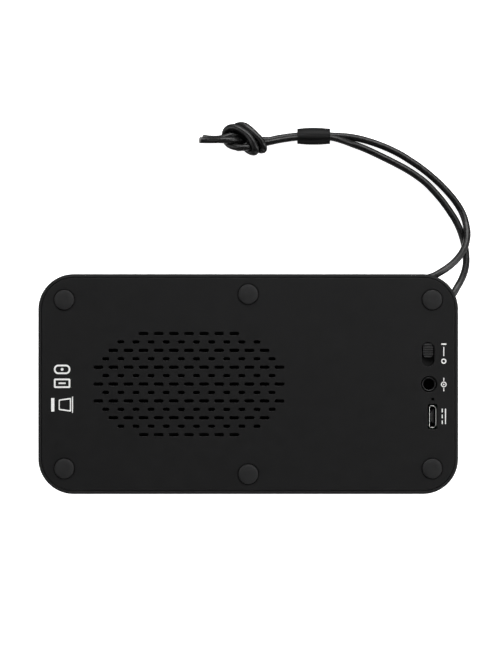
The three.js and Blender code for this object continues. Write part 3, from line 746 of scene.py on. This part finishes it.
# ---- slide switch -------------------------------------------------------------------
def knob():
    """Cross-sections along Y: a rounded bar with five ribs and a raised lip at its far end."""
    top, half, wide, corner = T - 0.4, KNOB[1] / 2, KNOB[0] / 2 + 0.04, 1.2
    far = half + 0.2
    line = [(-half, -0.44), (-half + 0.05, -0.38), (-half + 0.12, -0.36)]
    for k in range(5):
        c = -1.90 + k * 0.725
        line += [(c - 0.19, -0.46 if k else -0.34), (c - 0.13, -0.10), (c - 0.07, 0.0), (c + 0.08, 0.0), (c + 0.14, -0.12), (c + 0.20, -0.46)]
    line += [(1.62, -0.44), (1.74, -0.12), (1.84, 0.0), (far - 0.22, 0.0), (far - 0.10, -0.05), (far - 0.03, -0.14), (far, -0.26)]
    s = Shape(lambda u, v, z: (SWITCH[0] + 0.03 + u, KNOB_Y + z, v))
    rings = []
    for y, dz in line:
        over = max(0.0, abs(y) - ((far if y > 0 else half) - corner))
        w = wide - (corner - math.sqrt(max(0.0, corner * corner - over * over)))
        z1, r = top + dz, 0.16
        pts = [(-w, 27.95), (w, 27.95)] + [(w - r + r * math.cos(t), z1 - r + r * math.sin(t)) for t in np.linspace(0, math.pi / 2, 5)]
        pts += [(-w + r - r * math.sin(t), z1 - r + r * math.cos(t)) for t in np.linspace(0, math.pi / 2, 5)]
        rings.append(s.ring(pts, y))
    for a, b in zip(rings, rings[1:]):
        s.bridge(a, b)
    s.cap(rings[0])
    s.cap(rings[-1])
    return s


piece(knob(), key_m, "power_switch", ["switch_knob"], angle=50, name="switch_knob_ribbed")
shutter = plate(outline_of(5.2, 10.7, 0.4, SWITCH[0], KNOB_Y, n=4), 29.35, 29.82, 0.08, 2,
                holes=[lambda o: rr(KNOB[0] - 0.3 - 2 * o, KNOB[1] - 0.3 - 2 * o, 1.05, SWITCH[0], KNOB_Y, 8)])
piece(shutter, shade_m, "power_switch", name="switch_shutter")

# ---- audio jack -----------------------------------------------------------------------
def jack():
    s = Shape()
    first, rim = s.loft(outline_of(6.6, 7.6, 0.5, *JACK, n=4), [(0, 21.4), (0, 29.05), (-0.15, 29.2)])
    top = T - 0.4
    prof = [(2.25, 29.2), (2.25, top - 0.10)] + arc(2.25 - 0.10, top - 0.10, 0.10, 20, 90, 4)
    prof += [(2.08, top - 0.02), (1.86, top - 0.26), (1.81, top - 0.36), (JACK_R, top - 0.5), (JACK_R, 29.0), (JACK_R + 0.12, 28.8), (JACK_R + 0.12, 27.9), (JACK_R, 27.7), (JACK_R, 22.6)]
    a, b = s.loft(lambda r: circle(*JACK, r, 56), prof)
    s.cap(rim, [a])
    s.cap(first)
    s.fan(b, *JACK, 22.6)
    return s


JACK_R = 1.8
piece(jack(), jack_m, "root", ["audio_jack"], name="audio_jack_barrel")
spring_contact = plate(outline_of(0.3, 0.9, 0.12, JACK[0] - 1.7, JACK[1], n=3), 23.2, 27.5, 0.08, 2)
piece(spring_contact, nickel_m, "root", name="audio_jack_contact")

# ---- light ------------------------------------------------------------------------------
piece(lathe([(0, 21.4), (0.3, 21.4), (0.3, 28.7), (0.29, 28.82), (0.24, 28.92), (0.14, 28.98), (0.07, 29.0), (0, 29.0)], *LIGHT, 24),
      clear_m, "root", ["light_pipe"], angle=60, name="light_pipe_lens")

# ---- charging socket ----------------------------------------------------------------------
def usb_outline(w, h, c, cx, cy):
    x, y = w / 2, h / 2
    return [(cx - x, cy - y + 0.3), (cx - x + 0.3, cy - y), (cx + x - c, cy - y), (cx + x, cy - y + c),
            (cx + x, cy + y - c), (cx + x - c, cy + y), (cx - x + 0.3, cy + y), (cx - x, cy + y - 0.3)][::1]


def usb_shell():
    base = usb_outline(2.20, 7.08, 0.68, USB[0] + 0.10, USB[1] - 0.01)
    s = Shape()
    ol = lambda o: softened(grown(base, o), 0.16, 3)
    top = T - 0.38
    # the mouth is flared, so its narrow top edge slopes inwards
    first, last = s.loft(ol, [(0, 21.5), (0, top - 0.05), (-0.015, top - 0.012), (-0.04, top), (-0.12, top - 0.045), (-0.15, top - 0.09), (-0.17, top - 0.25), (-0.17, 26.0)])
    s.cap(first)
    s.cap(last)
    return s


piece(usb_shell(), nickel_m, "root", ["usb_socket_shell"], name="usb_shell_folded")
tongue = plate(outline_of(0.50, 4.4, 0.12, USB[0] + 0.24, USB[1] + 0.15, n=3), 26.2, T - 1.0, 0.06, 2)
piece(tongue, jack_m, "root", ["usb_socket_tongue"], name="usb_tongue")
# a near-black sheet lining the shell behind its mouth: painted shade, standing for the shadow deep in the socket,
# whose real metal shell is bright inside
painted_shade_liner = Shape()
ring_of = lambda o: softened(grown(usb_outline(2.20, 7.08, 0.68, USB[0] + 0.10, USB[1] - 0.01), o), 0.16, 3)
first, last = painted_shade_liner.loft(ring_of, [(-0.19, 26.05), (-0.19, T - 0.62), (-0.22, T - 0.56), (-0.28, T - 0.6), (-0.30, 28.4)])
painted_shade_liner.cap(first)
painted_shade_liner.cap(last)
piece(painted_shade_liner, painted_shade_m, "root", name="usb_insert")
contacts = Shape()
for k in range(5):
    c = plate(outline_of(0.24, 0.50, 0.04, USB[0] - 0.14, USB[1] + 0.15 + (k - 2) * 0.68, n=2), 26.6, T - 1.0, 0.03, 1)
    a = len(contacts.v)
    contacts.v += c.v
    contacts.f += [tuple(i + a for i in f) for f in c.f]
piece(contacts, nickel_m, "root", name="usb_contacts")

# ---- push buttons -----------------------------------------------------------------------------
def button(x, symbol, names):
    body, node, name = names
    place = lambda u, v, z, x=x: (x + u, -H / 2 + 0.2 - z, BUTTON_Z + v)     # z grows outwards
    o = outline_of(*BUTTON, BUTTON[1] / 2 - 0.01, n=12)
    deep = -(WALL + 0.3)
    s = Shape(place)
    first, last = s.loft(o, [(0, deep), (0, -0.34), (-0.03, -0.2), (-0.11, -0.08), (-0.24, -0.01), (-0.36, 0.0), (-1.2, -0.09)])
    s.cap(first)
    s.cap(last)
    flange = plate(outline_of(BUTTON[0] + 2.6, BUTTON[1] + 2.6, 3, n=6), -(WALL + 0.9), -(WALL + 0.1), 0.1, 1, place)
    stem = plate(outline_of(3, 3, 0.8, n=4), -(WALL + 1.3), -(WALL + 0.85), 0.08, 1, place)
    marks = []
    for pts in symbol:
        m = Shape(place)
        a, b = m.loft(lambda g, pts=pts: grown(pts, g), [(0.06, -0.3), (0.0, 0.05), (-0.05, 0.09)])
        m.cap(a)
        m.cap(b)
        marks.append(m)
    me = boolean(s.mesh(name), [flange, stem, *marks], "UNION")
    piece(me, key_m, body, [node], name=name)


bar_h = rr(1.9, 0.42, 0.12, n=3)
bar_v = rr(0.42, 1.9, 0.12, n=3)
triangle = softened([(-1.15, -0.85), (0.25, 0.0), (-1.15, 0.85)], 0.16, 3)
pause_1, pause_2 = rr(0.34, 1.6, 0.1, 0.62, 0, 3), rr(0.34, 1.6, 0.1, 1.25, 0, 3)
button(BUTTON_X[0], [bar_h], ("volume_down_key", "volume_down_button", "volume_down_cap"))
button(BUTTON_X[1], [triangle, pause_1, pause_2], ("play_key", "play_button", "play_cap"))
button(BUTTON_X[2], [bar_h, bar_v], ("volume_up_key", "volume_up_button", "volume_up_cap"))

# ---- grille cloth -------------------------------------------------------------------------------
def cloth():
    s = Shape()
    gw, gh, gr = W - 2 * GRILLE_INSET - 0.6, H - 2 * GRILLE_INSET - 0.6, R - GRILLE_INSET - 0.3
    o = outline_of(gw, gh, gr, n=10)
    # one flat stretched sheet, its edge rounded off towards the front
    first, last = s.loft(o, [(-3.0, 1.1), (0, 1.1), (0, 0.72), (-0.08, 0.58), (-0.3, 0.5), (-3.0, 0.47)])
    s.cap(first)
    s.cap(last)
    return s


sheet = piece(cloth(), fabric_m, "root", ["grille_cloth"], angle=60, name="grille_cloth_stretched")

# ---- printed symbols: plain generic marks --------------------------------------------------------
def mark(name, shapes):
    """Thin ink shapes on the cover: each (outline points, hole points or None)."""
    s = Shape()
    for outer, hole in shapes:
        a, b = s.ring(outer, T + 0.002), s.ring(outer, T + 0.02)
        s.bridge(a, b)
        ha = hb = None
        if hole:
            ha, hb = s.ring(hole, T + 0.002), s.ring(hole, T + 0.02)
            s.bridge(ha, hb)
        s.cap(a, [ha] if hole else [])
        s.cap(b, [hb] if hole else [])
    return piece(s, ink_m, "root", name=name)


IX = 63.03
mark("ink_on_off", [(rr(1.66, 0.44, 0.1, IX, 12.9, 2), None), (circle(IX, 7.4, 0.86, 28), circle(IX, 7.4, 0.48, 28)),
                    (rr(0.30, 2.9, 0.08, IX, 10.5, 2), None)])
mark("ink_audio", [(circle(IX, -0.1, 0.90, 28), circle(IX, -0.1, 0.62, 28)), (circle(IX, -0.1, 0.26, 16), None),
                   (rr(0.30, 1.1, 0.1, IX, 1.52, 2), None), (rr(0.30, 1.1, 0.1, IX, -1.72, 2), None)])
mark("ink_power_in", [(rr(0.34, 5.0, 0.1, IX + 0.55, -10.4, 2), None)]
     + [(rr(0.34, 1.2, 0.1, IX - 0.5, -10.4 + (k - 1) * 1.9, 2), None) for k in range(3)])
mark("ink_ring", [(rr(5.3, 3.05, 1.45, -60.0, 4.75, 9), rr(4.2, 1.95, 0.9, -60.0, 4.75, 9)),
                  (circle(-60.0, 4.75, 0.46, 20), None)])
mark("ink_square", [(rr(5.3, 3.05, 0.45, -60.0, 0.28, 5), rr(4.2, 1.95, 0.2, -60.0, 0.28, 5)),
                    (rr(2.3, 0.5, 0.15, -60.0, 0.28, 3), None)])
mark("ink_bar", [(rr(1.05, 4.35, 0.12, -63.02, -6.65, 3), None)])
mark("ink_tray", [(softened([(-61.1, -8.3), (-57.1, -8.9), (-57.1, -4.4), (-61.1, -5.0)], 0.3, 3),
                   softened([(-60.75, -7.95), (-57.5, -8.4), (-57.5, -4.9), (-60.75, -5.35)], 0.2, 3)),
                  (rr(0.34, 5.2, 0.1, -56.65, -6.65, 2), None)])

# ---- stage: floor, backdrop, light ---------------------------------------------------------------
def stage_mesh(name, me, emission, colour=0.8, floor=False):
    o = bpy.data.objects.new(name, me)
    scene.collection.objects.link(o)
    m = bpy.data.materials.new(name)
    m.use_nodes = True
    p = m.node_tree.nodes["Principled BSDF"]
    p.inputs["Base Color"].default_value = (colour, colour, colour, 1)
    p.inputs["Roughness"].default_value = 0.9
    p.inputs["Specular IOR Level"].default_value = 0.0
    p.inputs["Emission Color"].default_value = (1, 1, 1, 1)
    p.inputs["Emission Strength"].default_value = emission
    me.materials.append(m)
    o.visible_diffuse = o.visible_glossy = o.visible_transmission = o.visible_shadow = False
    return o


floor_me = bpy.data.meshes.new("floor")
floor_me.from_pydata([(-6, -6, -0.00006), (6, -6, -0.00006), (6, 6, -0.00006), (-6, 6, -0.00006)], [], [(0, 1, 2, 3)])
stage_mesh("floor", floor_me, FLOOR_GLOW)
bm = bmesh.new()
bmesh.ops.create_uvsphere(bm, u_segments=48, v_segments=24, radius=7.0)
bmesh.ops.reverse_faces(bm, faces=bm.faces)
dome_me = bpy.data.meshes.new("backdrop")
bm.to_mesh(dome_me)
bm.free()
stage_mesh("backdrop", dome_me, 1.0, colour=0.0)

world = bpy.data.worlds.new("studio")
scene.world = world
world.use_nodes = True
bg = world.node_tree.nodes["Background"]
bg.inputs["Color"].default_value = (1, 1, 1, 1)
bg.inputs["Strength"].default_value = WORLD


def area(name, loc, size, power, aim=(0, 0, 15), shape="RECTANGLE"):
    d = bpy.data.lights.new(name, "AREA")
    d.shape = shape
    d.size, d.size_y = size
    d.energy = power
    o = bpy.data.objects.new(name, d)
    o.location = Vector(loc) * MM
    o.rotation_mode = "QUATERNION"
    o.rotation_quaternion = (Vector(loc) - Vector(aim)).to_track_quat("Z", "Y")
    scene.collection.objects.link(o)
    return o


for spec in LIGHTS:
    area(*spec)

scene.view_settings.view_transform = "Standard"
scene.view_settings.look = "None"
scene.view_settings.exposure = 0.0
scene.view_settings.gamma = 1.0

bpy.context.view_layer.update()
